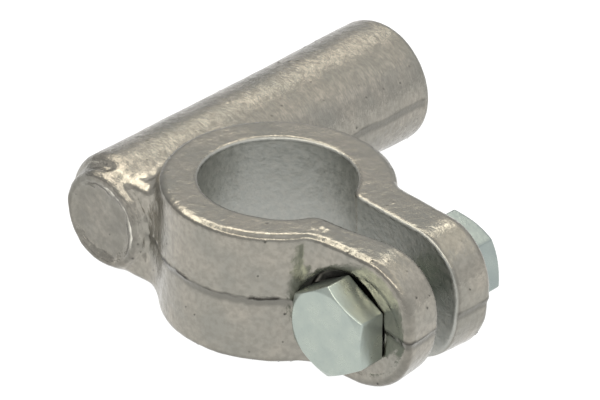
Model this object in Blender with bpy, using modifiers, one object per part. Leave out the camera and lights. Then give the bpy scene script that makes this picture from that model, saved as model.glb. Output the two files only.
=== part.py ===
"""Ground clamp: a cast post clamp with a cable barrel, pinched shut by one hexagon bolt and nut.

The frame stands on the post hole's axis, at the level of the clamp's underside. +Z runs up the post,
+X runs from the post towards the two ears, and +Y runs along the bolt from its head to its nut.
The cable barrel lies behind the ring, parallel to the bolt, and its open mouth faces +Y.
"""
import math

import bmesh
import bpy
from mathutils import Matrix, Vector

MM = 0.001

# Ring around the post. The hole widens downwards at the standard post taper of 1 in 9.
BODY_HEIGHT = 16.4 * MM
PARTING_HEIGHT = 7.8 * MM
POST_HOLE_TOP = 18.0 * MM
POST_TAPER = 1.0 / 9.0
RING_DIAMETER = 27.0 * MM
EDGE_ROUND = 1.0 * MM
HOLE_CHAMFER = 0.5 * MM

# Ears: two leaning plates, closer together at their tips than at the ring.
EAR_PAST_BOLT = 8.5 * MM
NEAR_EAR_THICKNESS = 4.7 * MM
FAR_EAR_THICKNESS = 5.4 * MM
EAR_TOP_CORNER = 6.6 * MM
EAR_FOOT_CORNER = 8.0 * MM
EAR_LEAN = math.radians(5.0)
SLOT_AT_BOLT = 4.6 * MM

# Cable barrel: closed by a collared cap at its -Y end, open at its +Y end.
BARREL_PAST_RING = 4.0 * MM
BARREL_DIAMETER = 14.4 * MM
BARREL_DRAFT = 0.5 * MM
BARREL_CAP_END = -10.6 * MM
BARREL_MOUTH_END = 37.6 * MM
MOUTH_DIAMETER = 15.6 * MM
MOUTH_BAND = 3.6 * MM
MOUTH_FLARE = 4.4 * MM
CAP_COLLAR_HEIGHT = 2.2 * MM
CAP_COLLAR_DIAMETER = 11.6 * MM
CAP_DISC_DIAMETER = 9.8 * MM
CAP_DISC_DEPTH = 0.5 * MM
SOCKET_DIAMETER = 11.2 * MM
SOCKET_DEPTH = 34.0 * MM

# Web that joins the barrel to the ring.
WEB_HALF_WIDTH = 9.3 * MM
WEB_HEIGHT = 12.6 * MM
WEB_IN_RING = 3.3 * MM

# Pinch bolt and nut, M6.
BOLT_DIAMETER = 6.0 * MM
BOLT_PAST_RING = 3.5 * MM
BOLT_LENGTH = 20.0 * MM
BOLT_HOLE = 6.6 * MM
THREAD_PITCH_DIAMETER = 5.35 * MM
HEX_ACROSS_FLATS = 10.0 * MM
HEAD_HEIGHT = 4.0 * MM
NUT_HEIGHT = 5.2 * MM
HEX_CHAMFER_ANGLE = math.radians(30.0)
HEX_FACE_SHARE = 0.955
HEAD_TURN = math.radians(1.0)
NUT_TURN = math.radians(-14.0)
SPOT_FACE_CLEARANCE = 0.43 * MM
NEAR_SPOT_FACE_DEPTH = 0.7 * MM
FAR_SPOT_FACE_DEPTH = 0.2 * MM

# Clearances and allowances.
SEAT_GAP = 0.3 * MM
CUT_MARGIN = 2.0 * MM
MERGE_DISTANCE = 0.001 * MM

# Facets.
RING_STEPS = 72
BARREL_STEPS = 56
SMALL_STEPS = 36
ARC_POINTS = 7
ROUND_SEGMENTS = 3
SMOOTH_ANGLE = math.radians(35.0)

# Sizes that follow from the ones above.
RING_RADIUS = RING_DIAMETER / 2
HOLE_TOP_RADIUS = POST_HOLE_TOP / 2
HOLE_FOOT_RADIUS = HOLE_TOP_RADIUS + BODY_HEIGHT * POST_TAPER / 2
EAR_ROOT = (RING_RADIUS + HOLE_FOOT_RADIUS) / 2
BOLT_REACH = RING_RADIUS + BOLT_PAST_RING
EAR_TIP = BOLT_REACH + EAR_PAST_BOLT
HEX_CORNER_RADIUS = HEX_ACROSS_FLATS / math.sqrt(3.0)
SPOT_FACE_RADIUS = HEX_CORNER_RADIUS + SPOT_FACE_CLEARANCE
HEAD_SEAT = -SLOT_AT_BOLT / 2 - NEAR_EAR_THICKNESS + NEAR_SPOT_FACE_DEPTH
NUT_SEAT = SLOT_AT_BOLT / 2 + FAR_EAR_THICKNESS - FAR_SPOT_FACE_DEPTH
BARREL_OFFSET = RING_RADIUS + BARREL_PAST_RING
BARREL_RADIUS = BARREL_DIAMETER / 2
CAP_SHOULDER_END = BARREL_CAP_END + CAP_COLLAR_HEIGHT

ALONG_Y = Matrix.Rotation(math.radians(-90.0), 4, "X")


def clear_scene():
    """Remove every object, so that the file holds this clamp alone."""
    for old in list(bpy.data.objects):
        bpy.data.objects.remove(old, do_unlink=True)


def make_collection(name):
    """Add a collection to the scene."""
    collection = bpy.data.collections.new(name)
    bpy.context.scene.collection.children.link(collection)
    return collection


def make_material(name, colour, metallic, roughness):
    """Give a Principled material of one colour."""
    material = bpy.data.materials.new(name)
    material.use_nodes = True
    shader = material.node_tree.nodes["Principled BSDF"]
    shader.inputs["Base Color"].default_value = (*colour, 1.0)
    shader.inputs["Metallic"].default_value = metallic
    shader.inputs["Roughness"].default_value = roughness
    return material


def add_object(name, mesh, collection):
    """Link a mesh as a named object."""
    item = bpy.data.objects.new(name, mesh)
    collection.objects.link(item)
    return item


def settle(item):
    """Turn an object's curve or modifiers into a plain welded mesh, in its own place."""
    graph = bpy.context.evaluated_depsgraph_get()
    mesh = bpy.data.meshes.new_from_object(item.evaluated_get(graph))
    mesh.transform(item.matrix_world)
    work = bmesh.new()
    work.from_mesh(mesh)
    bmesh.ops.remove_doubles(work, verts=work.verts, dist=MERGE_DISTANCE)
    bmesh.ops.recalc_face_normals(work, faces=work.faces)
    work.to_mesh(mesh)
    work.free()
    name = item.name
    home = item.users_collection[0]
    bpy.data.objects.remove(item, do_unlink=True)
    return add_object(name, mesh, home)


def arc(centre, radius, start, end, count=ARC_POINTS):
    """Points of an arc in a plane, from one angle in degrees to another."""
    points = []
    for index in range(count):
        angle = math.radians(start + (end - start) * index / (count - 1))
        points.append((centre[0] + radius * math.cos(angle), centre[1] + radius * math.sin(angle)))
    return points


def turned(name, profile, steps, collection, place=Matrix.Identity(4)):
    """Spin a profile of (radius, height) points, top to bottom, into a solid about local Z."""
    mesh = bpy.data.meshes.new(name)
    corners = [(radius, 0.0, height) for radius, height in profile]
    edges = [(index, index + 1) for index in range(len(corners) - 1)]
    mesh.from_pydata(corners, edges, [])
    item = add_object(name, mesh, collection)
    spin = item.modifiers.new("spin", "SCREW")
    spin.axis = "Z"
    spin.angle = math.tau
    spin.steps = steps
    spin.render_steps = steps
    spin.use_merge_vertices = True
    spin.merge_threshold = MERGE_DISTANCE
    item.matrix_world = place
    bpy.context.view_layer.update()
    return settle(item)


def cylinder(name, radius, low, high, place, collection, steps=SMALL_STEPS):
    """A plain cylinder along local Z between two heights."""
    profile = [(0.0, high), (radius, high), (radius, low), (0.0, low)]
    return turned(name, profile, steps, collection, place)


def plate(name, outline, low, high, edge_round, place, collection):
    """A flat outline given a thickness along local Z, with rounded rims."""
    curve = bpy.data.curves.new(name, "CURVE")
    curve.dimensions = "2D"
    curve.fill_mode = "BOTH"
    curve.extrude = (high - low) / 2 - edge_round
    curve.bevel_depth = edge_round
    curve.bevel_resolution = ROUND_SEGMENTS - 1
    curve.offset = -edge_round
    spline = curve.splines.new("POLY")
    spline.points.add(len(outline) - 1)
    for point, (across, up) in zip(spline.points, outline):
        point.co = (across, up, 0.0, 1.0)
    spline.use_cyclic_u = True
    item = add_object(name, curve, collection)
    item.matrix_world = place @ Matrix.Translation((0.0, 0.0, (low + high) / 2))
    bpy.context.view_layer.update()
    return settle(item)


def combine(item, other, operation):
    """Apply one exact Boolean and use up the other object."""
    modifier = item.modifiers.new(operation.lower(), "BOOLEAN")
    modifier.operation = operation
    modifier.solver = "EXACT"
    modifier.object = other
    bpy.context.view_layer.update()
    graph = bpy.context.evaluated_depsgraph_get()
    mesh = bpy.data.meshes.new_from_object(item.evaluated_get(graph))
    item.modifiers.clear()
    item.data = mesh
    bpy.data.objects.remove(other, do_unlink=True)
    return item


def hexagon_block(name, low, high, turn, place, collection):
    """A hexagonal prism along local Z, its corners turned from local Y."""
    mesh = bpy.data.meshes.new(name)
    work = bmesh.new()
    spin = Matrix.Translation((0.0, 0.0, (low + high) / 2)) @ Matrix.Rotation(turn, 4, "Z")
    bmesh.ops.create_cone(work, cap_ends=True, segments=6, radius1=HEX_CORNER_RADIUS,
                          radius2=HEX_CORNER_RADIUS, depth=high - low, matrix=place @ spin)
    work.to_mesh(mesh)
    work.free()
    return add_object(name, mesh, collection)


def chamfer_envelope(name, low, high, both_ends, place, collection):
    """The turned blank that leaves the round chamfers on a hexagon's ends."""
    face_radius = HEX_ACROSS_FLATS / 2 * HEX_FACE_SHARE
    full_radius = HEX_CORNER_RADIUS + CUT_MARGIN
    drop = (full_radius - face_radius) * math.tan(HEX_CHAMFER_ANGLE)
    profile = [(0.0, high), (face_radius, high), (full_radius, high - drop)]
    if both_ends:
        profile = profile + [(full_radius, low + drop), (face_radius, low), (0.0, low)]
    else:
        profile = profile + [(full_radius, low - CUT_MARGIN), (0.0, low - CUT_MARGIN)]
    return turned(name, profile, SMALL_STEPS, collection, place)


def finish(item, material, origin=Vector((0.0, 0.0, 0.0))):
    """Put the origin on the joint axis, shade round faces smooth and give the material."""
    item.data.transform(Matrix.Translation(-origin))
    item.location = origin
    item.data.shade_smooth()
    item.data.set_sharp_from_angle(angle=SMOOTH_ANGLE)
    item.data.materials.clear()
    item.data.materials.append(material)
    return item


def ring_blank(collection):
    """The round boss around the post, solid, with rounded rims."""
    flat_radius = RING_RADIUS - EDGE_ROUND
    profile = [(0.0, BODY_HEIGHT)]
    profile += arc((flat_radius, BODY_HEIGHT - EDGE_ROUND), EDGE_ROUND, 90.0, 0.0, ROUND_SEGMENTS + 1)
    profile += arc((flat_radius, EDGE_ROUND), EDGE_ROUND, 0.0, -90.0, ROUND_SEGMENTS + 1)
    profile += [(0.0, 0.0)]
    return turned("clamp_body", profile, RING_STEPS, collection)


def ear_plate(side, thickness, collection):
    """One leaning ear. It starts inside the ring wall and reaches past the slot's face."""
    foot = (EAR_TIP - EAR_FOOT_CORNER, EAR_FOOT_CORNER)
    top = (EAR_TIP - EAR_TOP_CORNER, BODY_HEIGHT - EAR_TOP_CORNER)
    outline = [(EAR_ROOT, 0.0)]
    outline += arc(foot, EAR_FOOT_CORNER, -90.0, 0.0)
    outline += arc(top, EAR_TOP_CORNER, 0.0, 90.0)
    outline += [(EAR_ROOT, BODY_HEIGHT)]
    pivot = Vector((BOLT_REACH, side * SLOT_AT_BOLT / 2, 0.0))
    upright = Matrix.Rotation(math.radians(90.0), 4, "X")
    lean = Matrix.Rotation(-side * EAR_LEAN, 4, "Z")
    place = Matrix.Translation(pivot) @ lean @ Matrix.Translation((-BOLT_REACH, 0.0, 0.0)) @ upright
    outer = -side * thickness
    inner = side * EDGE_ROUND
    return plate("ear", outline, min(outer, inner), max(outer, inner), EDGE_ROUND, place, collection)


def barrel_blank(collection):
    """The cable barrel, solid: collared cap, drafted tube, flare and mouth band."""
    collar_radius = CAP_COLLAR_DIAMETER / 2
    mouth_radius = MOUTH_DIAMETER / 2
    band_start = BARREL_MOUTH_END - MOUTH_BAND
    flare_start = band_start - MOUTH_FLARE
    profile = [(0.0, BARREL_MOUTH_END), (mouth_radius - HOLE_CHAMFER, BARREL_MOUTH_END)]
    profile += [(mouth_radius, BARREL_MOUTH_END - HOLE_CHAMFER), (mouth_radius, band_start)]
    profile += [(BARREL_RADIUS + BARREL_DRAFT / 2, flare_start)]
    shoulder = BARREL_RADIUS - collar_radius
    profile += arc((collar_radius, CAP_SHOULDER_END), shoulder, 0.0, -60.0, ROUND_SEGMENTS + 2)
    profile += [(collar_radius, BARREL_CAP_END), (0.0, BARREL_CAP_END)]
    place = Matrix.Translation((-BARREL_OFFSET, 0.0, PARTING_HEIGHT)) @ ALONG_Y
    return turned("barrel", profile, BARREL_STEPS, collection, place)


def web_blank(collection):
    """The block that ties the barrel to the ring."""
    low = PARTING_HEIGHT - WEB_HEIGHT / 2
    high = PARTING_HEIGHT + WEB_HEIGHT / 2
    inner_end = WEB_IN_RING - RING_RADIUS
    corners = [(-BARREL_OFFSET, -WEB_HALF_WIDTH), (inner_end, -WEB_HALF_WIDTH)]
    corners += [(inner_end, WEB_HALF_WIDTH), (-BARREL_OFFSET, WEB_HALF_WIDTH)]
    return plate("web", corners, low, high, EDGE_ROUND, Matrix.Identity(4), collection)


def post_hole_cutter(collection):
    """The tapered post hole with a small chamfer at its upper rim."""
    top_radius = HOLE_TOP_RADIUS + HOLE_CHAMFER
    past_foot = HOLE_FOOT_RADIUS + CUT_MARGIN * POST_TAPER / 2
    profile = [(0.0, BODY_HEIGHT + CUT_MARGIN), (top_radius + CUT_MARGIN, BODY_HEIGHT + CUT_MARGIN)]
    profile += [(HOLE_TOP_RADIUS, BODY_HEIGHT - HOLE_CHAMFER)]
    profile += [(past_foot, -CUT_MARGIN), (0.0, -CUT_MARGIN)]
    return turned("cut_post_hole", profile, RING_STEPS, collection)


def slot_cutter(collection):
    """The wedge-shaped slot between the ears, cut from the post hole out past the tips."""
    start = HOLE_TOP_RADIUS / 2
    end = EAR_TIP + CUT_MARGIN
    half_start = SLOT_AT_BOLT / 2 + (BOLT_REACH - start) * math.tan(EAR_LEAN)
    half_end = SLOT_AT_BOLT / 2 - (end - BOLT_REACH) * math.tan(EAR_LEAN)
    corners = [(start, -half_start), (end, -half_end), (end, half_end), (start, half_start)]
    return plate("cut_slot", corners, -CUT_MARGIN, BODY_HEIGHT + CUT_MARGIN, 0.0,
                 Matrix.Identity(4), collection)


def bolt_hole_cutter(collection):
    """The plain hole through both ears."""
    place = Matrix.Translation((BOLT_REACH, 0.0, PARTING_HEIGHT)) @ ALONG_Y
    low = HEAD_SEAT - CUT_MARGIN
    high = NUT_SEAT + CUT_MARGIN
    return cylinder("cut_bolt_hole", BOLT_HOLE / 2, low, high, place, collection)


def spot_face_cutter(low, high, collection):
    """The flat seat under the bolt head or the nut, square to the bolt."""
    place = Matrix.Translation((BOLT_REACH, 0.0, PARTING_HEIGHT)) @ ALONG_Y
    return cylinder("cut_spot_face", SPOT_FACE_RADIUS, low, high, place, collection)


def socket_cutter(collection):
    """The blind cable socket with its drilled point."""
    radius = SOCKET_DIAMETER / 2
    floor = BARREL_MOUTH_END - SOCKET_DEPTH
    point = floor - radius * math.tan(HEX_CHAMFER_ANGLE)
    past_mouth = BARREL_MOUTH_END + CUT_MARGIN
    profile = [(0.0, past_mouth), (radius + HOLE_CHAMFER + CUT_MARGIN, past_mouth)]
    profile += [(radius, BARREL_MOUTH_END - HOLE_CHAMFER), (radius, floor), (0.0, point)]
    place = Matrix.Translation((-BARREL_OFFSET, 0.0, PARTING_HEIGHT)) @ ALONG_Y
    return turned("cut_socket", profile, BARREL_STEPS, collection, place)


def cap_disc_cutter(collection):
    """The shallow round recess in the barrel's closed end."""
    place = Matrix.Translation((-BARREL_OFFSET, 0.0, PARTING_HEIGHT)) @ ALONG_Y
    low = BARREL_CAP_END - CUT_MARGIN
    high = BARREL_CAP_END + CAP_DISC_DEPTH
    return cylinder("cut_cap_disc", CAP_DISC_DIAMETER / 2, low, high, place, collection)


def build_clamp_body(parts, cutters, material):
    """The one-piece casting: ring, ears, barrel and web, then every cut."""
    body = ring_blank(parts)
    blanks = [ear_plate(-1, NEAR_EAR_THICKNESS, cutters), ear_plate(1, FAR_EAR_THICKNESS, cutters)]
    blanks += [web_blank(cutters), barrel_blank(cutters)]
    for blank in blanks:
        combine(body, blank, "UNION")
    cuts = [post_hole_cutter(cutters), slot_cutter(cutters), socket_cutter(cutters)]
    cuts += [cap_disc_cutter(cutters), bolt_hole_cutter(cutters)]
    cuts += [spot_face_cutter(HEAD_SEAT - HEAD_HEIGHT, HEAD_SEAT, cutters)]
    cuts += [spot_face_cutter(NUT_SEAT, NUT_SEAT + NUT_HEIGHT, cutters)]
    for cut in cuts:
        combine(body, cut, "DIFFERENCE")
    return finish(body, material)


def build_bolt(parts, cutters, material):
    """The hexagon-head bolt. Its shank is drawn at the thread's pitch diameter."""
    head_under = HEAD_SEAT - SEAT_GAP
    head_top = head_under - HEAD_HEIGHT
    axis = Matrix.Translation((BOLT_REACH, 0.0, PARTING_HEIGHT))
    facing_out = axis @ Matrix.Rotation(math.radians(90.0), 4, "X")
    head = hexagon_block("pinch_bolt", -head_under, -head_top, HEAD_TURN, facing_out, parts)
    combine(head, chamfer_envelope("envelope", -head_under, -head_top, False, facing_out, cutters),
            "INTERSECT")
    radius = THREAD_PITCH_DIAMETER / 2
    tip = head_under + BOLT_LENGTH
    chamfer = BOLT_DIAMETER / 2 - radius
    sunk = head_under - HEAD_HEIGHT / 2
    profile = [(0.0, tip), (radius - chamfer, tip), (radius, tip - chamfer), (radius, sunk), (0.0, sunk)]
    shank = turned("shank", profile, SMALL_STEPS, cutters, axis @ ALONG_Y)
    combine(head, shank, "UNION")
    return finish(head, material, Vector((BOLT_REACH, head_under, PARTING_HEIGHT)))


def build_nut(parts, cutters, material):
    """The hexagon nut. Its hole is drawn at the thread's outer diameter."""
    low = NUT_SEAT + SEAT_GAP
    high = low + NUT_HEIGHT
    axis = Matrix.Translation((BOLT_REACH, 0.0, PARTING_HEIGHT)) @ ALONG_Y
    nut = hexagon_block("pinch_nut", low, high, -NUT_TURN, axis, parts)
    combine(nut, chamfer_envelope("envelope", low, high, True, axis, cutters), "INTERSECT")
    radius = BOLT_DIAMETER / 2
    lead_in = radius + HOLE_CHAMFER
    profile = [(0.0, high + CUT_MARGIN), (lead_in + CUT_MARGIN, high + CUT_MARGIN)]
    profile += [(radius, high - HOLE_CHAMFER), (radius, low + HOLE_CHAMFER)]
    profile += [(lead_in + CUT_MARGIN, low - CUT_MARGIN), (0.0, low - CUT_MARGIN)]
    combine(nut, turned("cut_thread", profile, SMALL_STEPS, cutters, axis), "DIFFERENCE")
    return finish(nut, material, Vector((BOLT_REACH, low, PARTING_HEIGHT)))


def main():
    """Build the clamp's three pieces."""
    clear_scene()
    parts = make_collection("ground_clamp")
    cutters = make_collection("cutters")
    casting = make_material("tinned_casting", (0.38, 0.355, 0.32), 1.0, 0.42)
    plating = make_material("zinc_plating", (0.46, 0.51, 0.48), 1.0, 0.35)
    build_clamp_body(parts, cutters, casting)
    build_bolt(parts, cutters, plating)
    build_nut(parts, cutters, plating)


main()
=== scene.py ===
"""Looks of the ground clamp: a cast, tinned post clamp with a plated hexagon bolt and nut.

The three pieces are grown as distance fields, in millimetres in the CAD frame, and meshed. The cast
piece then gets the skin of a sand-blasted die casting: a parting ledge, ripples and pits.
"""
import math

import bpy
import numpy as np
import openvdb
from mathutils import Matrix, Vector, kdtree


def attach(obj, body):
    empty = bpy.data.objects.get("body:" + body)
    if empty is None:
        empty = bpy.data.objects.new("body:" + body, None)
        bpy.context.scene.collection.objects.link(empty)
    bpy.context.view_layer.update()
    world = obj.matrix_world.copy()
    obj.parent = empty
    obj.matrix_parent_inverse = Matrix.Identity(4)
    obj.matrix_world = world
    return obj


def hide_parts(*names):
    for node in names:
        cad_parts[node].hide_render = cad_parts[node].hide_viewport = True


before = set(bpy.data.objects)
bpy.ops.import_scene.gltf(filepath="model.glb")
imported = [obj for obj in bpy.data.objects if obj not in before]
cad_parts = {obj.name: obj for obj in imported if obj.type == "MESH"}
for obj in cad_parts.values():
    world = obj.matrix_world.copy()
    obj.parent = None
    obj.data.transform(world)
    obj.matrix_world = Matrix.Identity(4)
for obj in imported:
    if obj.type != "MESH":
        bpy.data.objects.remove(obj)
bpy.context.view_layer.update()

MM = 0.001

# Ring and post hole, in millimetres.
BODY_HEIGHT = 16.4
PARTING_HEIGHT = 7.8
RING_RADIUS = 13.5
BODY_DRAFT = 0.020
BODY_EDGE = 0.85
HOLE_TOP_RADIUS = 9.0
HOLE_TAPER = 1.0 / 18.0

# Ears and slot.
BOLT_X = 17.0
EAR_TIP = 25.5
EAR_ROOT = 6.0
NEAR_EAR_STATIONS = (10.0, 13.0, 16.0, 25.0)
NEAR_EAR_FACE = (7.60, 7.00, 6.82, 6.70)
FAR_EAR_THICKNESS = 5.4
EAR_TOP_CORNER = 6.6
EAR_FOOT_CORNER = 8.0
EAR_LEAN = math.radians(5.0)
EAR_FILLET = 0.35
SLOT_HALF_WIDTH = 2.3
SLOT_EDGE = 0.4
SLOT_SOFT_EDGE = 1.0
SLOT_CORNER = 1.3
SLOT_ROOT = 4.0

# Barrel, its cap and the web.
BARREL_X = -17.5
BARREL_RADIUS = 7.2
BARREL_DRAFT = 0.25
MOUTH_END = 37.6
MOUTH_RADIUS = 7.8
MOUTH_BAND_START = 34.0
MOUTH_FLARE_START = 18.0
MOUTH_EDGE = 0.8
SOCKET_RADIUS = 5.6
SOCKET_FLOOR = 3.6
SOCKET_EDGE = 0.3
CAP_END = -10.6
CAP_SHOULDER_END = -8.6
CAP_SHOULDER_ROUND = 1.3
CAP_COLLAR_RADIUS = 6.0
CAP_COLLAR_ROUND = 1.0
CAP_COLLAR_FILLET = 0.5
CAP_DISC_RADIUS = 4.7
CAP_DISC_DEPTH = 0.75
CAP_DISC_SHIFT = 0.42
CAP_DISC_FLOOR_ROUND = 0.9
CAP_DISC_EDGE = 0.7
CAP_RIDGE_RADIUS = 4.95
CAP_RIDGE_WIDTH = 0.32
CAP_RIDGE_HEIGHT = 0.35
CAP_RIDGE_TURN = math.radians(35.0)
WEB_NEAR_END = -9.6
WEB_FAR_END = 9.3
WEB_LOW = 1.5
WEB_HIGH = 14.1
WEB_INNER_END = -7.5
WEB_EDGE = 1.2
WEB_FILLET = 1.3
WEB_BARREL_FILLET = 0.7

# Bolt and nut, M6.
HEX_HALF_FLATS = 5.0
HEX_FACE_RADIUS = 4.78
HEX_CORNER_ROUND = 0.16
HEX_FACE_ROUND = 0.12
CHAMFER_ROUND = 0.10
HEX_REACH = HEX_HALF_FLATS * 1.16
CHAMFER_SLOPE = math.tan(math.radians(30.0))
HEAD_TURN = math.radians(1.0)
NUT_TURN = math.radians(-14.0)
HEAD_UNDER = -6.6
HEAD_HEIGHT = 4.0
BOLT_TIP = 13.4
NUT_LOW = 7.8
NUT_HIGH = 13.0
THREAD_PITCH = 1.0
THREAD_OUTER = 2.95
THREAD_DEPTH = 0.56
THREAD_START = -3.0
THREAD_PLAY = 0.06
THREAD_LEAD_IN = 0.35
TIP_CONE_RADIUS = 2.45
HEAD_FILLET = 0.2
NUT_BORE_EDGE = 0.06
TOOL_LENGTH = 6.0
BOLT_HOLE_RADIUS = 3.3
BOLT_HOLE_REACH = 20.0
BOLT_HOLE_EDGE = 0.2
SPOT_FACE_RADIUS = 6.2
SEAT_EDGE = 0.25
HEAD_FLAT_RADIUS = 5.9
HEAD_FLAT_FLARE = 2.4
HEAD_FLAT_SHIFT = 1.3
HEAD_FLAT = -6.45
HEAD_FLAT_RISE = 0.5
HEAD_FLAT_EDGE = 0.5
HEAD_POCKET_RADIUS = 5.6
HEAD_POCKET_SHIFT = 0.75
HEAD_POCKET = -5.7
NUT_SEAT = 7.5

# Parting line of the mould: a ledge below it, a crack on it and flecks of flash above it.
PARTING_LINE_RISE = 0.75
LEDGE_WIDTH = 0.95
LEDGE_DEPTH = 0.36
LEDGE_FADE = 4.0
CRACK_WIDTH = 0.15
CRACK_DEPTH = 0.20
FLECK_PLACE = 0.35
FLECK_WIDTH = 0.22
FLECK_HEIGHT = 0.06

# Rest of the cast skin: heights of ripples and grain, wander of the edges, and pits.
RIPPLE_HEIGHT = 0.07
GRAIN_HEIGHT = 0.028
EDGE_WANDER = 0.18
EDGE_NICKS = 0.04
PIT_COUNT = 240
PIT_RADIUS = 0.15
PIT_DEPTH = 0.08
PIT_SEED = 7
CAP_RIPPLE_HEIGHT = 0.13
CAP_GRAIN_HEIGHT = 0.05
SKIN_SHRINK = 0.03
# Painted shade: the most darkening painted into hollow corners.
HOLLOW_SHADE = 0.4

# Rough mark of a mould pin on the ring's top.
MARK_PLACE = (11.1, -4.7)
MARK_RADIUS = 1.2
MARK_ROUGHNESS = 0.14
MARK_SINK = 0.08

# Faint dents of the plated pieces.
DENT_HEIGHT = 0.012
NICK_HEIGHT = 0.006

# Mesh steps.
CAST_STEP = 0.20
PLATED_STEP = 0.1
FIELD_MARGIN = 0.7

# Camera: turned about the clamp, raised above the floor and rolled, with its distance in millimetres.
CAMERA_AZIMUTH = math.radians(42.172)
CAMERA_ELEVATION = math.radians(30.081)
CAMERA_ROLL = math.radians(1.211)
CAMERA_DISTANCE = 449.868
CAMERA_TARGET = (-2.04, 6.01, 10.05)
CAMERA_LENS = 236.3
CAMERA_SENSOR = 36.0

# Studio walls and ceiling: height above the horizon in degrees, brightness and warmth.
SKY_STOPS = ((0.0, 0.80, 0.0), (18.0, 0.85, 0.0), (30.0, 1.0, 0.0), (42.0, 1.05, 0.0),
             (47.0, 1.5, 0.1), (60.0, 1.35, 0.1), (66.0, 1.0, 0.0), (90.0, 1.1, 0.0))
SKY_BRIGHTEST = 1.5
SIDE_LEFT = 0.70
SIDE_RIGHT = 1.18
# A long bright window in the walls: its heights, its brightness, and which way it faces.
WINDOW_STOPS = (43.5, 45.5, 52.0, 60.0)
WINDOW_BRIGHTNESS = 3.8
WINDOW_CENTRE = math.radians(-50.0)
WINDOW_REACH = (-0.27, -0.16)
WINDOW_WARMTH = 0.2
FLOOR_REACH = 2.0
FLOOR_DROP = 0.00005

# Colours of the cast piece.
CAST_LIGHT = (0.365, 0.341, 0.293)
CAST_DARK = (0.290, 0.283, 0.250)
CAST_SPECK = (0.228, 0.218, 0.190)
BORE_DARK = (0.375, 0.383, 0.358)
BORE_LIGHT = (0.45, 0.452, 0.42)
STROKE_TONE = (0.225, 0.212, 0.190)
# Painted shade: the dark colour on the ledge under the parting line and in the cap's dish.
LEDGE_SHADE_TONE = (0.165, 0.16, 0.142)
# Painted shade: the dark colour painted into pits, the parting crack, hollow corners and the head
# pocket.
CREVICE_SHADE_TONE = (0.035, 0.033, 0.029)
WORN_TONE = (0.46, 0.43, 0.37)
# Painted highlight: the bright cream glint on the ridge at the cap disc's rim.
CAP_GLINT_TONE = (0.78, 0.76, 0.67)

# Colours of the plated pieces.
PLATING_LIGHT = (0.42, 0.468, 0.420)
PLATING_DARK = (0.375, 0.425, 0.392)
# Painted shade: the darker tone painted over the nut.
PLATING_SHADE_TONE = (0.29, 0.333, 0.323)
PLATING_SPECK = (0.27, 0.30, 0.28)


# ---------------------------------------------------------------- distance fields

def round_union(first, second, radius):
    """Join two fields with a hollow fillet."""
    corner = np.hypot(np.maximum(radius - first, 0), np.maximum(radius - second, 0))
    return np.maximum(radius, np.minimum(first, second)) - corner


def round_both(first, second, radius):
    """Keep what lies in both fields, with a rounded edge."""
    corner = np.hypot(np.maximum(radius + first, 0), np.maximum(radius + second, 0))
    return np.minimum(-radius, np.maximum(first, second)) + corner


def round_cut(solid, tool, radius):
    """Take a tool away from a solid, with a rounded rim."""
    return round_both(solid, -tool, radius)


def slab(along, low, high):
    """The space between two parallel planes."""
    return np.abs(along - (low + high) / 2) - (high - low) / 2


def rounded_outline(across, up, half, corner_radius):
    """A centred rectangle whose corner radius is given at every point."""
    side = np.abs(across) - half[0] + corner_radius
    rise = np.abs(up) - half[1] + corner_radius
    outside = np.hypot(np.maximum(side, 0), np.maximum(rise, 0))
    return np.minimum(np.maximum(side, rise), 0) + outside - corner_radius


def post_body_field(x, y, z):
    """Ring and ears in one: their shared plan with filleted corners, kept between rounded ends."""
    out_y = np.abs(y) - SLOT_HALF_WIDTH
    along = (x - BOLT_X) * math.cos(EAR_LEAN) - out_y * math.sin(EAR_LEAN) + BOLT_X
    outward = out_y * math.cos(EAR_LEAN) + (x - BOLT_X) * math.sin(EAR_LEAN)
    near_face = np.abs(y) - np.interp(x, NEAR_EAR_STATIONS, NEAR_EAR_FACE)
    ears = np.maximum(np.where(y < 0, near_face, outward - FAR_EAR_THICKNESS), EAR_ROOT - along)
    plan = round_union(np.hypot(x, y) - RING_RADIUS, ears, EAR_FILLET)
    plan = plan + BODY_DRAFT * np.abs(z - PARTING_HEIGHT)
    corner = np.where(z > BODY_HEIGHT / 2, EAR_TOP_CORNER, EAR_FOOT_CORNER)
    half = (EAR_TIP + RING_RADIUS, BODY_HEIGHT / 2)
    outline = rounded_outline(along + RING_RADIUS, z - BODY_HEIGHT / 2, half, corner)
    return round_both(plan, outline, BODY_EDGE)


def barrel_radius(y):
    """Outer radius of the barrel along its length: draft, flare and mouth band."""
    stations = (CAP_END, MOUTH_FLARE_START, MOUTH_BAND_START, MOUTH_END)
    radii = (BARREL_RADIUS, BARREL_RADIUS + BARREL_DRAFT, MOUTH_RADIUS, MOUTH_RADIUS)
    return np.interp(y, stations, radii)


def barrel_field(x, y, z):
    """The cable barrel with its flared mouth, round shoulder and collared cap."""
    from_axis = np.hypot(x - BARREL_X, z - PARTING_HEIGHT)
    tube = from_axis - barrel_radius(y)
    tube = round_both(tube, y - MOUTH_END, MOUTH_EDGE)
    tube = round_both(tube, CAP_SHOULDER_END - y, CAP_SHOULDER_ROUND)
    collar = round_both(from_axis - CAP_COLLAR_RADIUS, slab(y, CAP_END, 0.0), CAP_COLLAR_ROUND)
    return round_union(tube, collar, CAP_COLLAR_FILLET)


def web_field(x, y, z):
    """The block between barrel and ring."""
    sides = np.maximum(slab(y, WEB_NEAR_END, WEB_FAR_END), slab(x, BARREL_X, WEB_INNER_END))
    return round_both(sides, slab(z, WEB_LOW, WEB_HIGH), WEB_EDGE)


def hole_field(x, y, z):
    """The tapered post hole."""
    return np.hypot(x, y) - HOLE_TOP_RADIUS - (BODY_HEIGHT - z) * HOLE_TAPER


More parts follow.
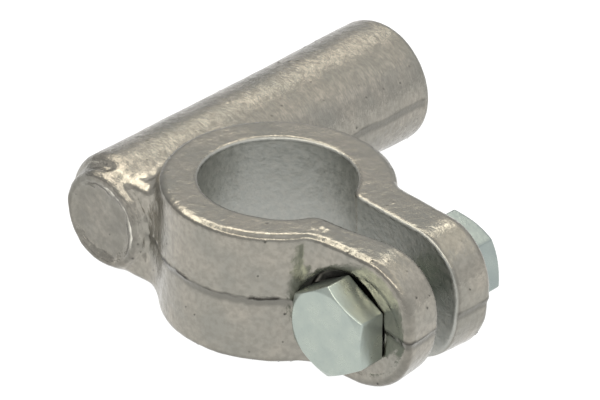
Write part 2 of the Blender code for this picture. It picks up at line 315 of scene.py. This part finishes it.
def slot_field(x, y, z):
    """The wedge between the ears, open at the tips."""
    half = SLOT_HALF_WIDTH + (BOLT_X - x) * math.tan(EAR_LEAN)
    return np.maximum(np.abs(y) - half, SLOT_ROOT - x) + 0 * z


def socket_field(x, y, z):
    """The blind cable socket."""
    from_axis = np.hypot(x - BARREL_X, z - PARTING_HEIGHT)
    return np.maximum(from_axis - SOCKET_RADIUS, SOCKET_FLOOR - y)


def core_field(x, y, z):
    """Post hole and slot in one, with the corners between them rounded off."""
    return round_union(hole_field(x, y, z), slot_field(x, y, z), SLOT_CORNER)


def core_edge(x, y):
    """How round the rim of hole and slot is: softer on the near side, where hole and slot meet."""
    near = smooth_step(-y, 0.0, 3.0) * smooth_step(x, 3.0, 8.0) * (1 - smooth_step(x, 13.0, 19.0))
    return SLOT_EDGE + (SLOT_SOFT_EDGE - SLOT_EDGE) * near


def head_pocket_field(x, y, z):
    """The clearance for the bolt's head: a shallow flat, and a deeper pocket towards the ring."""
    radius = HEAD_FLAT_RADIUS + np.clip(HEAD_FLAT - y, 0, HEAD_FLAT_RISE) * HEAD_FLAT_FLARE
    flat = bolt_line_field(x - HEAD_FLAT_SHIFT, y, z, radius, HEAD_FLAT - TOOL_LENGTH, HEAD_FLAT)
    low = HEAD_POCKET - TOOL_LENGTH
    pocket = bolt_line_field(x + HEAD_POCKET_SHIFT, y, z, HEAD_POCKET_RADIUS, low, HEAD_POCKET)
    return flat, pocket


def bolt_line_field(x, y, z, radius, low, high):
    """A cylinder about the bolt's axis."""
    from_axis = np.hypot(x - BOLT_X, z - PARTING_HEIGHT)
    return np.maximum(from_axis - radius, slab(y, low, high))


def disc_field(x, y, z):
    """The shallow recess in the barrel's closed end."""
    from_axis = np.hypot(x - BARREL_X + CAP_DISC_SHIFT, z - PARTING_HEIGHT + CAP_DISC_SHIFT)
    return round_both(from_axis - CAP_DISC_RADIUS, y - CAP_END - CAP_DISC_DEPTH, CAP_DISC_FLOOR_ROUND)


def nut_seat_field(x, y, z):
    """The spot face for the nut on the far ear."""
    return bolt_line_field(x, y, z, SPOT_FACE_RADIUS, NUT_SEAT, NUT_SEAT + TOOL_LENGTH)


def machined_field(x, y, z):
    """All that is cut or cored: the nearest of hole, slot, head pocket and nut seat."""
    cut = np.minimum(hole_field(x, y, z), slot_field(x, y, z))
    _, pocket = head_pocket_field(x, y, z)
    return np.minimum(cut, np.minimum(pocket, nut_seat_field(x, y, z)))


def casting_field(x, y, z):
    """The whole one-piece casting."""
    solid = round_union(web_field(x, y, z), barrel_field(x, y, z), WEB_BARREL_FILLET)
    solid = round_union(post_body_field(x, y, z), solid, WEB_FILLET)
    solid = round_cut(solid, core_field(x, y, z), core_edge(x, y))
    solid = round_cut(solid, socket_field(x, y, z), SOCKET_EDGE)
    solid = round_cut(solid, disc_field(x, y, z), CAP_DISC_EDGE)
    bolt_hole = bolt_line_field(x, y, z, BOLT_HOLE_RADIUS, -BOLT_HOLE_REACH, BOLT_HOLE_REACH)
    solid = round_cut(solid, bolt_hole, BOLT_HOLE_EDGE)
    flat, pocket = head_pocket_field(x, y, z)
    solid = round_cut(solid, flat, HEAD_FLAT_EDGE)
    solid = round_cut(solid, pocket, SEAT_EDGE)
    return round_cut(solid, nut_seat_field(x, y, z), SEAT_EDGE)


def hexagon_field(x, z, turn):
    """A hexagon across the bolt's axis with slightly rounded corners."""
    across = x - BOLT_X
    rise = z - PARTING_HEIGHT
    nearest = None
    for index in range(3):
        angle = turn + index * math.pi / 3
        flat = np.abs(across * math.cos(angle) + rise * math.sin(angle)) - HEX_HALF_FLATS
        nearest = flat if nearest is None else round_both(nearest, flat, HEX_CORNER_ROUND)
    return nearest


def thread_field(x, y, z, play):
    """A right-hand M6 thread about the bolt's axis, made larger by some play."""
    across = x - BOLT_X
    rise = z - PARTING_HEIGHT
    turned = np.arctan2(across, rise) / math.tau
    phase = np.mod(y / THREAD_PITCH - turned, 1.0)
    ridge = np.clip(np.abs(2 * phase - 1) * 1.25 - 0.125, 0, 1)
    return np.hypot(across, rise) - THREAD_OUTER + THREAD_DEPTH * ridge - play


def bolt_field(x, y, z):
    """The hexagon-head bolt with its thread."""
    from_axis = np.hypot(x - BOLT_X, z - PARTING_HEIGHT)
    top = HEAD_UNDER - HEAD_HEIGHT
    head = round_both(hexagon_field(x, z, HEAD_TURN), slab(y, top, HEAD_UNDER), HEX_FACE_ROUND)
    cone = (top - y + np.maximum(from_axis - HEX_FACE_RADIUS, 0) * CHAMFER_SLOPE) * math.cos(math.pi / 6)
    head = round_both(head, cone, CHAMFER_ROUND)
    plain = np.maximum(from_axis - THREAD_OUTER, slab(y, HEAD_UNDER - 1.0, THREAD_START))
    thread = np.maximum(thread_field(x, y, z, 0.0), slab(y, THREAD_START - 0.2, BOLT_TIP))
    tip_cone = (y - BOLT_TIP + from_axis - TIP_CONE_RADIUS) * 0.7
    thread = np.maximum(thread, tip_cone)
    return round_union(head, np.minimum(plain, thread), HEAD_FILLET)


def nut_field(x, y, z):
    """The hexagon nut, chamfered at both ends, with its thread."""
    from_axis = np.hypot(x - BOLT_X, z - PARTING_HEIGHT)
    body = round_both(hexagon_field(x, z, -NUT_TURN), slab(y, NUT_LOW, NUT_HIGH), HEX_FACE_ROUND)
    slope = np.maximum(from_axis - HEX_FACE_RADIUS, 0) * CHAMFER_SLOPE
    for end in (y - NUT_HIGH, NUT_LOW - y):
        body = round_both(body, (end + slope) * math.cos(math.pi / 6), CHAMFER_ROUND)
    lead_in = from_axis - THREAD_OUTER - THREAD_LEAD_IN
    lead_in = np.maximum(lead_in, -slab(y, NUT_LOW + THREAD_LEAD_IN, NUT_HIGH - THREAD_LEAD_IN))
    cut = np.minimum(thread_field(x, y, z, THREAD_PLAY), lead_in)
    return round_cut(body, cut, NUT_BORE_EDGE)


def mesh_from_field(name, field, low, high, step):
    """Mesh the zero surface of a field in a box, and return an object in metres."""
    start = np.array(low) - FIELD_MARGIN
    counts = np.ceil((np.array(high) + FIELD_MARGIN - start) / step).astype(int) + 1
    x, y, z = [start[axis] + step * np.arange(counts[axis]) for axis in range(3)]
    values = field(x[:, None, None], y[None, :, None], z[None, None, :]).astype(np.float32)
    grid = openvdb.FloatGrid()
    grid.copyFromArray(np.ascontiguousarray(values))
    grid.transform = openvdb.createLinearTransform(voxelSize=step)
    points, quads = grid.convertToQuads(isovalue=0.0)
    mesh = bpy.data.meshes.new(name)
    mesh.from_pydata((points + start) * MM, [], quads[:, ::-1])
    mesh.shade_smooth()
    item = bpy.data.objects.new(name, mesh)
    bpy.context.scene.collection.objects.link(item)
    return item


# ---------------------------------------------------------------- skin of the casting

GRADIENTS = np.array([[1, 1, 0], [-1, 1, 0], [1, -1, 0], [-1, -1, 0], [1, 0, 1], [-1, 0, 1],
                      [1, 0, -1], [-1, 0, -1], [0, 1, 1], [0, -1, 1], [0, 1, -1], [0, -1, -1]])


def noise(points, size, seed):
    """Smooth gradient noise, about -1 to 1, with bumps of one size."""
    scaled = points / size
    cell = np.floor(scaled).astype(np.int64)
    inside = scaled - cell
    fade = inside ** 3 * (inside * (inside * 6 - 15) + 10)
    total = np.zeros(len(points))
    for corner in np.ndindex(2, 2, 2):
        at = cell + corner
        mixed = at[:, 0] * 73856093 ^ at[:, 1] * 19349663 ^ at[:, 2] * 83492791 ^ seed * 2654435
        mixed = (mixed ^ (mixed >> 13)) * 12741261
        pull = ((inside - corner) * GRADIENTS[(mixed ^ (mixed >> 16)) % 12]).sum(1)
        total += pull * np.where(corner, fade, 1 - fade).prod(1)
    return total


def smooth_step(values, low, high):
    """0 below low, 1 above high, and an even change between."""
    share = np.clip((values - low) / (high - low), 0, 1)
    return share * share * (3 - 2 * share)


def vertex_places(item):
    """A piece's vertices and their normals, in millimetres."""
    count = len(item.data.vertices)
    places = np.empty(count * 3, np.float32)
    normals = np.empty(count * 3, np.float32)
    item.data.vertices.foreach_get("co", places)
    item.data.vertex_normals.foreach_get("vector", normals)
    return places.reshape(-1, 3) / MM, normals.reshape(-1, 3)


def set_places(item, places):
    """Move a piece's vertices to new places, in millimetres."""
    item.data.vertices.foreach_set("co", (places * MM).astype(np.float32).ravel())
    item.data.update()


def store(item, name, values):
    """Keep one number for each vertex, for the material to read."""
    layer = item.data.attributes.new(name, "FLOAT", "POINT")
    layer.data.foreach_set("value", np.asarray(values, np.float32))


def pit_depths(places, chance, count, radius, seed):
    """Depth of scattered round pits, 0 to 1, at every vertex."""
    picker = np.random.default_rng(seed)
    tree = kdtree.KDTree(len(places))
    for index, place in enumerate(places):
        tree.insert(place, index)
    tree.balance()
    depths = np.zeros(len(places))
    centres = picker.choice(len(places), count, p=chance / chance.sum())
    for centre in centres:
        size = radius * picker.uniform(0.6, 1.5)
        strength = picker.uniform(0.4, 1.0)
        for _, index, gap in tree.find_range(places[centre], size * 1.6):
            depths[index] = max(depths[index], strength * math.exp(-(gap / size) ** 2 * 2))
    return depths


def hollows(item, rounds):
    """How hollow the surface is at every vertex: above 0 in corners, below 0 on edges."""
    places, normals = vertex_places(item)
    ends = np.empty(len(item.data.edges) * 2, np.int32)
    item.data.edges.foreach_get("vertices", ends)
    first, second = ends.reshape(-1, 2).T
    step = places[second] - places[first]
    length = (step ** 2).sum(1) + 1e-9
    count = np.bincount(first, minlength=len(places)) + np.bincount(second, minlength=len(places))
    bend = np.bincount(first, (step * normals[first]).sum(1) / length, len(places))
    bend += np.bincount(second, -(step * normals[second]).sum(1) / length, len(places))
    bend /= count
    for _ in range(rounds):
        spread = np.bincount(first, bend[second], len(places))
        spread += np.bincount(second, bend[first], len(places))
        bend = 0.4 * bend + 0.6 * spread / count
    return bend


def parting_height(places):
    """Where the two halves of the mould met: a slightly ragged line."""
    flat = places * (1, 1, 0)
    return PARTING_HEIGHT + PARTING_LINE_RISE + 0.35 * noise(flat, 4.1, 3) + 0.16 * noise(flat, 0.8, 4)


def parting_relief(places, above, barrel, flat):
    """Ledge, crack and flash along the parting line in millimetres, and the crack's strength."""
    lower = 1 - smooth_step(above, -LEDGE_WIDTH, 0.05)
    fading = np.exp(-np.maximum(-above, 0) / LEDGE_FADE)
    ledge = (lower * fading - 0.30) * (0.75 + 0.4 * noise(places, 6.0, 6)) * (1 - 0.45 * barrel)
    open_share = 0.25 + 0.75 * smooth_step(noise(places, 2.6, 5), -0.2, 0.3)
    ear_share = 1 - 0.5 * smooth_step(places[:, 0], 14.0, 20.0)
    crack = np.exp(-((above - 0.02) / CRACK_WIDTH) ** 2) * open_share * ear_share * (1 - 0.7 * barrel)
    crack = crack * (0.35 + 0.65 * smooth_step(flat, 0.1, 0.6))
    flecks = np.exp(-((above - FLECK_PLACE) / FLECK_WIDTH) ** 2)
    flecks = flecks * smooth_step(noise(places, 0.7, 8), 0.10, 0.45)
    return LEDGE_DEPTH * ledge - CRACK_DEPTH * crack + FLECK_HEIGHT * flecks, crack


def pin_mark(places):
    """Share of the rough mark that a mould pin left on the ring's top, 0 to 1."""
    x, y, z = places.T
    mark = np.exp(-((x - MARK_PLACE[0]) ** 2 + (y - MARK_PLACE[1]) ** 2) / MARK_RADIUS ** 2)
    return mark * smooth_step(z, BODY_HEIGHT - 1.2, BODY_HEIGHT - 0.5)


def cap_ridge(places):
    """Distance from the cap disc's centre, and a low ridge on one side of the disc's rim, 0 to 1."""
    across = places[:, 0] - BARREL_X + CAP_DISC_SHIFT
    rise = places[:, 2] - PARTING_HEIGHT + CAP_DISC_SHIFT
    from_disc = np.hypot(across, rise)
    toward = across * math.cos(CAP_RIDGE_TURN) + rise * math.sin(CAP_RIDGE_TURN)
    ridge = np.exp(-((from_disc - CAP_RIDGE_RADIUS) / CAP_RIDGE_WIDTH) ** 2)
    return from_disc, ridge * smooth_step(toward / (from_disc + 0.01), 0.5, 0.9)


def cast_skin(item):
    """Turn the clean casting into a real one: parting line, ripples, grain, pits and worn edges."""
    places, normals = vertex_places(item)
    x, y, z = places.T
    flat, pocket = head_pocket_field(x, y, z)
    cast = smooth_step(machined_field(x, y, z), 0.04, 0.35)
    skin = cast * smooth_step(socket_field(x, y, z), 0.1, 0.5)
    edges = np.clip(-4.0 * hollows(item, 8), 0, 1)
    barrel = smooth_step(-barrel_field(x, y, z), -0.35, -0.1)
    cap_face = barrel * (1 - smooth_step(y - CAP_END, 0.6, 1.6))
    upright = 1 - smooth_step(np.abs(normals[:, 2]), 0.55, 0.85)
    upright = upright * (1 - cap_face) * smooth_step(MOUTH_END - y, 0.5, 1.5)

    above = z - parting_height(places)
    relief, crack = parting_relief(places, above, barrel, flat)
    ripple = 0.6 * noise(places, 5.0, 11) + 0.4 * noise(places, 2.3, 12)
    grain = 0.6 * noise(places, 1.1, 13) + 0.4 * noise(places, 0.6, 14)
    pits = pit_depths(places, 0.02 + skin, PIT_COUNT, PIT_RADIUS, PIT_SEED)
    from_disc, ridge = cap_ridge(places)

    move = skin * (upright * relief + RIPPLE_HEIGHT * ripple) - SKIN_SHRINK
    move += (0.25 + 0.75 * cast) * GRAIN_HEIGHT * grain - PIT_DEPTH * pits * (0.3 + 0.7 * cast)
    move += edges * (EDGE_WANDER * noise(places, 1.6, 21) + EDGE_NICKS * noise(places, 0.7, 22))
    move += pin_mark(places) * (MARK_ROUGHNESS * noise(places, 0.75, 23) - MARK_SINK)
    move += cap_face * CAP_RIDGE_HEIGHT * ridge * (1 + 0.5 * noise(places, 1.2, 26))
    cap_relief = CAP_RIPPLE_HEIGHT * noise(places, 2.6, 24) + CAP_GRAIN_HEIGHT * noise(places, 1.0, 25)
    move += cap_face * cap_relief
    set_places(item, places + normals * move[:, None])

    bend = hollows(item, 5)
    # Painted shadow: the head pocket behind the bolt's head is darkened where the head shades it.
    pocket_shadow = 1 - smooth_step(pocket, 0.0, 0.15)
    pocket_shadow = pocket_shadow * smooth_step(y, HEAD_FLAT - 0.1, HEAD_FLAT + 0.3)
    # Painted shade: darker along the parting crack and in hollow corners, plus the pocket's painted
    # shadow.
    painted_shade = skin * upright * crack + np.minimum(1.1 * bend, HOLLOW_SHADE) * skin + pocket_shadow
    # Painted shade: a dark band on the ledge under the parting line, and a darker dish inside the cap's
    # disc.
    band = smooth_step(above, -LEDGE_WIDTH - 0.35, -LEDGE_WIDTH + 0.15)
    band = band * (1 - smooth_step(above, -0.1, 0.2))
    dish_shade = cap_face * (1 - smooth_step(from_disc, 3.9, 4.9)) * (0.45 + 0.5 * noise(places, 2.2, 27))
    broken = smooth_step(noise(places, 0.8, 28), -0.35, 0.05)
    store(item, "cast_skin", cast)
    store(item, "pit", pits)
    store(item, "barrel_skin", barrel)
    store(item, "crevice_shade", np.clip(painted_shade, 0, 1))
    # The ledge value holds painted shade: the ledge band and the cap's dish.
    store(item, "ledge", np.clip(skin * upright * band + dish_shade, 0, 1))
    store(item, "worn_edge", np.clip(-1.2 * bend, 0, 1))
    # Painted highlight: broken bright streaks along the cap disc's ridge.
    store(item, "cap_glint", cap_face * ridge * broken)


def plated_skin(item, seed, shade_share):
    """Give a plated piece faint dents, as from a box of loose bolts, and its share of painted shade."""
    places, normals = vertex_places(item)
    move = DENT_HEIGHT * noise(places, 1.7, seed) + NICK_HEIGHT * noise(places, 0.5, seed + 1)
    # Painted shade: the nut is painted darker than the bolt.
    store(item, "plating_shade", shade_share * (0.85 + 0.3 * noise(places, 2.0, seed + 2)))
    set_places(item, places + normals * move[:, None])


# ---------------------------------------------------------------- materials

class NodeTable:
    """Short ways to add and join the nodes of one material."""

    def __init__(self, name):
        self.material = bpy.data.materials.new(name)
        self.material.use_nodes = True
        self.tree = self.material.node_tree
        self.shader = self.tree.nodes["Principled BSDF"]
        self.place = self.add("ShaderNodeTexCoord").outputs["Object"]

    def add(self, kind, **settings):
        node = self.tree.nodes.new(kind)
        for key, value in settings.items():
            setattr(node, key, value)
        return node

    def join(self, source, target):
        self.tree.links.new(source, target)

    def noise(self, scale, detail=3.0, stretch=(1, 1, 1), rough=0.55):
        """Noise from 0 to 1 with features of one size, in millimetres."""
        mapping = self.add("ShaderNodeMapping")
        mapping.inputs["Scale"].default_value = [1 / (scale * MM * part) for part in stretch]
        self.join(self.place, mapping.inputs["Vector"])
        texture = self.add("ShaderNodeTexNoise")
        texture.inputs["Scale"].default_value = 1.0
        texture.inputs["Detail"].default_value = detail
        texture.inputs["Roughness"].default_value = rough
        self.join(mapping.outputs["Vector"], texture.inputs["Vector"])
        return texture.outputs["Fac"]

    def stored(self, name):
        """A number kept at the vertices."""
        return self.add("ShaderNodeAttribute", attribute_name=name).outputs["Fac"]

    def remap(self, value, low, high, to_low=0.0, to_high=1.0):
        """Stretch a range of a value onto another."""
        node = self.add("ShaderNodeMapRange")
        self.join(value, node.inputs["Value"])
        limits = {"From Min": low, "From Max": high, "To Min": to_low, "To Max": to_high}
        for name, number in limits.items():
            node.inputs[name].default_value = number
        return node.outputs["Result"]

    def maths(self, operation, first, second):
        """One sum on two values."""
        node = self.add("ShaderNodeMath", operation=operation)
        for socket, value in zip(node.inputs, (first, second)):
            if isinstance(value, (int, float)):
                socket.default_value = value
            else:
                self.join(value, socket)
        return node.outputs["Value"]

    def mix(self, share, first, second):
        """Blend two colours."""
        node = self.add("ShaderNodeMix", data_type="RGBA")
        self.join(share, node.inputs["Factor"])
        for name, value in (("A", first), ("B", second)):
            socket = next(s for s in node.inputs if s.name == name and s.type == "RGBA")
            if isinstance(value, tuple):
                socket.default_value = (*value, 1.0)
            else:
                self.join(value, socket)
        return next(s for s in node.outputs if s.type == "RGBA")

    def bump(self, height, depth, after=None):
        """A bump of a height map, with its full depth in millimetres."""
        node = self.add("ShaderNodeBump")
        node.inputs["Distance"].default_value = depth * MM
        self.join(height, node.inputs["Height"])
        if after is not None:
            self.join(after, node.inputs["Normal"])
        return node.outputs["Normal"]


def casting_material():
    """Tinned die casting: warm grey, mottled, with painted shade in pits, the parting crack, hollow
    corners, the head pocket, the ledge and the cap's dish, a painted highlight on the cap's ridge, and a
    blue-grey machined bore.
    """
    table = NodeTable("tinned_casting_looks")
    shader = table.shader
    shader.inputs["Metallic"].default_value = 1.0
    patches = table.remap(table.noise(5.0, 4.0), 0.35, 0.65)
    specks = table.remap(table.noise(0.7, 4.0), 0.40, 0.62)
    strokes = table.noise(0.30, 3.0, (2.6, 0.55, 2.6))
    cast_tone = table.mix(patches, CAST_LIGHT, CAST_DARK)
    cast_tone = table.mix(table.maths("MULTIPLY", specks, 0.5), cast_tone, CAST_SPECK)
    bore_tone = table.mix(specks, BORE_DARK, BORE_LIGHT)
    tone = table.mix(table.stored("cast_skin"), bore_tone, cast_tone)
    hatch = table.maths("MULTIPLY", table.remap(strokes, 0.42, 0.60), table.stored("barrel_skin"))
    tone = table.mix(table.maths("MULTIPLY", hatch, 0.45), tone, STROKE_TONE)
    # Painted shade on the parting ledge and in the cap's dish.
    tone = table.mix(table.maths("MULTIPLY", table.stored("ledge"), 0.75), tone, LEDGE_SHADE_TONE)
    # Painted shade in pits, the parting crack, hollow corners and the head pocket.
    painted_shade = table.maths("ADD", table.stored("pit"), table.stored("crevice_shade"))
    tone = table.mix(table.remap(painted_shade, 0.15, 0.9, 0.0, 0.95), tone, CREVICE_SHADE_TONE)
    worn = table.remap(table.stored("worn_edge"), 0.25, 0.8, 0.0, 0.35)
    tone = table.mix(worn, tone, WORN_TONE)
    # Painted highlight on the cap's ridge.
    painted_glint = table.remap(table.stored("cap_glint"), 0.15, 0.8, 0.0, 0.9)
    tone = table.mix(painted_glint, tone, CAP_GLINT_TONE)
    table.join(tone, shader.inputs["Base Color"])
    rough = table.remap(specks, 0.0, 1.0, 0.17, 0.26)
    dull = table.remap(table.stored("cast_skin"), 0.0, 1.0, 0.22, 0.0)
    table.join(table.maths("ADD", rough, dull), shader.inputs["Roughness"])
    relief = table.bump(table.noise(0.32, 4.0), 0.022)
    relief = table.bump(table.noise(0.9, 3.0), 0.06, relief)
    scratched = table.maths("MULTIPLY", strokes, table.stored("barrel_skin"))
    relief = table.bump(scratched, 0.07, relief)
    table.join(relief, shader.inputs["Normal"])
    return table.material


def plating_material():
    """Pale blue-green zinc plating, satin, with faint clouds."""
    table = NodeTable("zinc_plating_looks")
    shader = table.shader
    shader.inputs["Metallic"].default_value = 1.0
    clouds = table.remap(table.noise(2.2, 4.0), 0.35, 0.65)
    tone = table.mix(clouds, PLATING_LIGHT, PLATING_DARK)
    # Painted shade: darkens the nut's plating.
    tone = table.mix(table.stored("plating_shade"), tone, PLATING_SHADE_TONE)
    specks = table.remap(table.noise(0.25, 2.0), 0.62, 0.75)
    tone = table.mix(table.maths("MULTIPLY", specks, 0.35), tone, PLATING_SPECK)
    table.join(tone, shader.inputs["Base Color"])
    table.join(table.remap(clouds, 0.0, 1.0, 0.26, 0.36), shader.inputs["Roughness"])
    table.join(table.bump(table.noise(0.35, 3.0), 0.012), shader.inputs["Normal"])
    return table.material


def floor_material():
    """A white floor that shows almost no shadow."""
    table = NodeTable("white_floor")
    shader = table.shader
    shader.inputs["Base Color"].default_value = (0.1, 0.1, 0.1, 1.0)
    shader.inputs["Roughness"].default_value = 1.0
    shader.inputs["Emission Color"].default_value = (1.0, 1.0, 1.0, 1.0)
    shader.inputs["Emission Strength"].default_value = 1.0
    return table.material


# ---------------------------------------------------------------- pieces

def settle_piece(item, body, node, material):
    """Make a finished piece stand for a CAD node and move with its body."""
    item.data.materials.append(material)
    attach(item, body)
    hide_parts(node)


def make_casting():
    """The one-piece cast clamp."""
    low = (BARREL_X - MOUTH_RADIUS, -RING_RADIUS, 0.0)
    high = (EAR_TIP + 0.5, MOUTH_END, BODY_HEIGHT)
    item = mesh_from_field("cast_clamp", casting_field, low, high, CAST_STEP)
    cast_skin(item)
    settle_piece(item, "clamp", "clamp_body", casting_material())


def make_bolt(material):
    """The pinch bolt."""
    low = (BOLT_X - HEX_REACH, HEAD_UNDER - HEAD_HEIGHT, PARTING_HEIGHT - HEX_REACH)
    high = (BOLT_X + HEX_REACH, BOLT_TIP, PARTING_HEIGHT + HEX_REACH)
    item = mesh_from_field("plated_bolt", bolt_field, low, high, PLATED_STEP)
    plated_skin(item, 31, 0.0)
    settle_piece(item, "bolt", "pinch_bolt", material)


def make_nut(material):
    """The pinch nut."""
    low = (BOLT_X - HEX_REACH, NUT_LOW, PARTING_HEIGHT - HEX_REACH)
    high = (BOLT_X + HEX_REACH, NUT_HIGH, PARTING_HEIGHT + HEX_REACH)
    item = mesh_from_field("plated_nut", nut_field, low, high, PLATED_STEP)
    plated_skin(item, 41, 1.0)
    settle_piece(item, "nut", "pinch_nut", material)


# ---------------------------------------------------------------- studio

def make_floor():
    """A plain pale floor."""
    mesh = bpy.data.meshes.new("floor")
    signs = ((-1, -1), (1, -1), (1, 1), (-1, 1))
    corners = [(across * FLOOR_REACH, along * FLOOR_REACH, 0) for across, along in signs]
    mesh.from_pydata(corners, [], [(0, 1, 2, 3)])
    floor = bpy.data.objects.new("floor", mesh)
    bpy.context.scene.collection.objects.link(floor)
    floor.location.z = -FLOOR_DROP
    mesh.materials.append(floor_material())


def height_ramp(nodes, stops):
    """A colour ramp over the height above the horizon."""
    ramp = nodes.new("ShaderNodeValToRGB")
    while len(ramp.color_ramp.elements) < len(stops):
        ramp.color_ramp.elements.new(0.5)
    for stop, (height, level, warmth) in zip(ramp.color_ramp.elements, stops):
        stop.position = math.sin(math.radians(height))
        stop.color = (level, level * (1 - 0.35 * warmth), level * (1 - warmth), 1.0)
    return ramp


def wall_light(nodes, links, parts):
    """Plain walls: brightness by height, and brighter on the right-hand side."""
    stops = [(height, level / SKY_BRIGHTEST, warmth) for height, level, warmth in SKY_STOPS]
    walls = height_ramp(nodes, stops)
    links.new(parts.outputs["Z"], walls.inputs[0])
    side = nodes.new("ShaderNodeMapRange")
    side.inputs["From Min"].default_value = -1.0
    side.inputs["To Min"].default_value = SIDE_LEFT * SKY_BRIGHTEST
    side.inputs["To Max"].default_value = SIDE_RIGHT * SKY_BRIGHTEST
    links.new(parts.outputs["X"], side.inputs["Value"])
    light = nodes["Background"]
    links.new(walls.outputs["Color"], light.inputs["Color"])
    links.new(side.outputs["Result"], light.inputs["Strength"])
    return light


def window_light(nodes, links, place, parts):
    """A long warm window in the walls, over one range of heights and on one side."""
    stops = [(height, level, WINDOW_WARMTH) for height, level in zip(WINDOW_STOPS, (0.0, 1.0, 1.0, 0.0))]
    window = height_ramp(nodes, stops)
    links.new(parts.outputs["Z"], window.inputs[0])
    facing = nodes.new("ShaderNodeVectorMath")
    facing.operation = "DOT_PRODUCT"
    facing.inputs[1].default_value = (math.sin(WINDOW_CENTRE), -math.cos(WINDOW_CENTRE), 0.0)
    links.new(place.outputs["Generated"], facing.inputs[0])
    reach = nodes.new("ShaderNodeMapRange")
    reach.inputs["From Min"].default_value = WINDOW_REACH[0]
    reach.inputs["From Max"].default_value = WINDOW_REACH[1]
    reach.inputs["To Max"].default_value = WINDOW_BRIGHTNESS
    links.new(facing.outputs["Value"], reach.inputs["Value"])
    light = nodes.new("ShaderNodeBackground")
    links.new(window.outputs["Color"], light.inputs["Color"])
    links.new(reach.outputs["Result"], light.inputs["Strength"])
    return light


def make_world():
    """Light from all round: plain walls, a long warm window, and white where the camera sees it."""
    world = bpy.data.worlds.new("studio")
    bpy.context.scene.world = world
    world.use_nodes = True
    nodes, links = world.node_tree.nodes, world.node_tree.links
    place = nodes.new("ShaderNodeTexCoord")
    parts = nodes.new("ShaderNodeSeparateXYZ")
    links.new(place.outputs["Generated"], parts.inputs[0])
    both = nodes.new("ShaderNodeAddShader")
    links.new(wall_light(nodes, links, parts).outputs[0], both.inputs[0])
    links.new(window_light(nodes, links, place, parts).outputs[0], both.inputs[1])
    white = nodes.new("ShaderNodeBackground")
    white.inputs["Color"].default_value = (1.0, 1.0, 1.0, 1.0)
    path = nodes.new("ShaderNodeLightPath")
    pick = nodes.new("ShaderNodeMixShader")
    links.new(path.outputs["Is Camera Ray"], pick.inputs[0])
    links.new(both.outputs[0], pick.inputs[1])
    links.new(white.outputs[0], pick.inputs[2])
    links.new(pick.outputs[0], nodes["World Output"].inputs["Surface"])


def make_camera():
    """The camera, looking down on the clamp from the bolt head's side."""
    turn, rise = CAMERA_AZIMUTH, CAMERA_ELEVATION
    back = Vector((math.sin(turn) * math.cos(rise), -math.cos(turn) * math.cos(rise), math.sin(rise)))
    across = Vector((math.cos(turn), math.sin(turn), 0.0))
    upward = back.cross(across)
    right = math.cos(CAMERA_ROLL) * across + math.sin(CAMERA_ROLL) * upward
    top = math.cos(CAMERA_ROLL) * upward - math.sin(CAMERA_ROLL) * across
    data = bpy.data.cameras.new("camera")
    data.lens = CAMERA_LENS
    data.sensor_width = CAMERA_SENSOR
    data.clip_start = 0.01
    data.clip_end = 10.0
    camera = bpy.data.objects.new("camera", data)
    bpy.context.scene.collection.objects.link(camera)
    camera.matrix_world = Matrix((right, top, back)).transposed().to_4x4()
    camera.location = (Vector(CAMERA_TARGET) + back * CAMERA_DISTANCE) * MM
    bpy.context.scene.camera = camera


def main():
    """Build the pieces, then the studio."""
    make_casting()
    plating = plating_material()
    make_bolt(plating)
    make_nut(plating)
    make_floor()
    make_world()
    make_camera()
    bpy.context.scene.view_settings.view_transform = "Standard"


main()
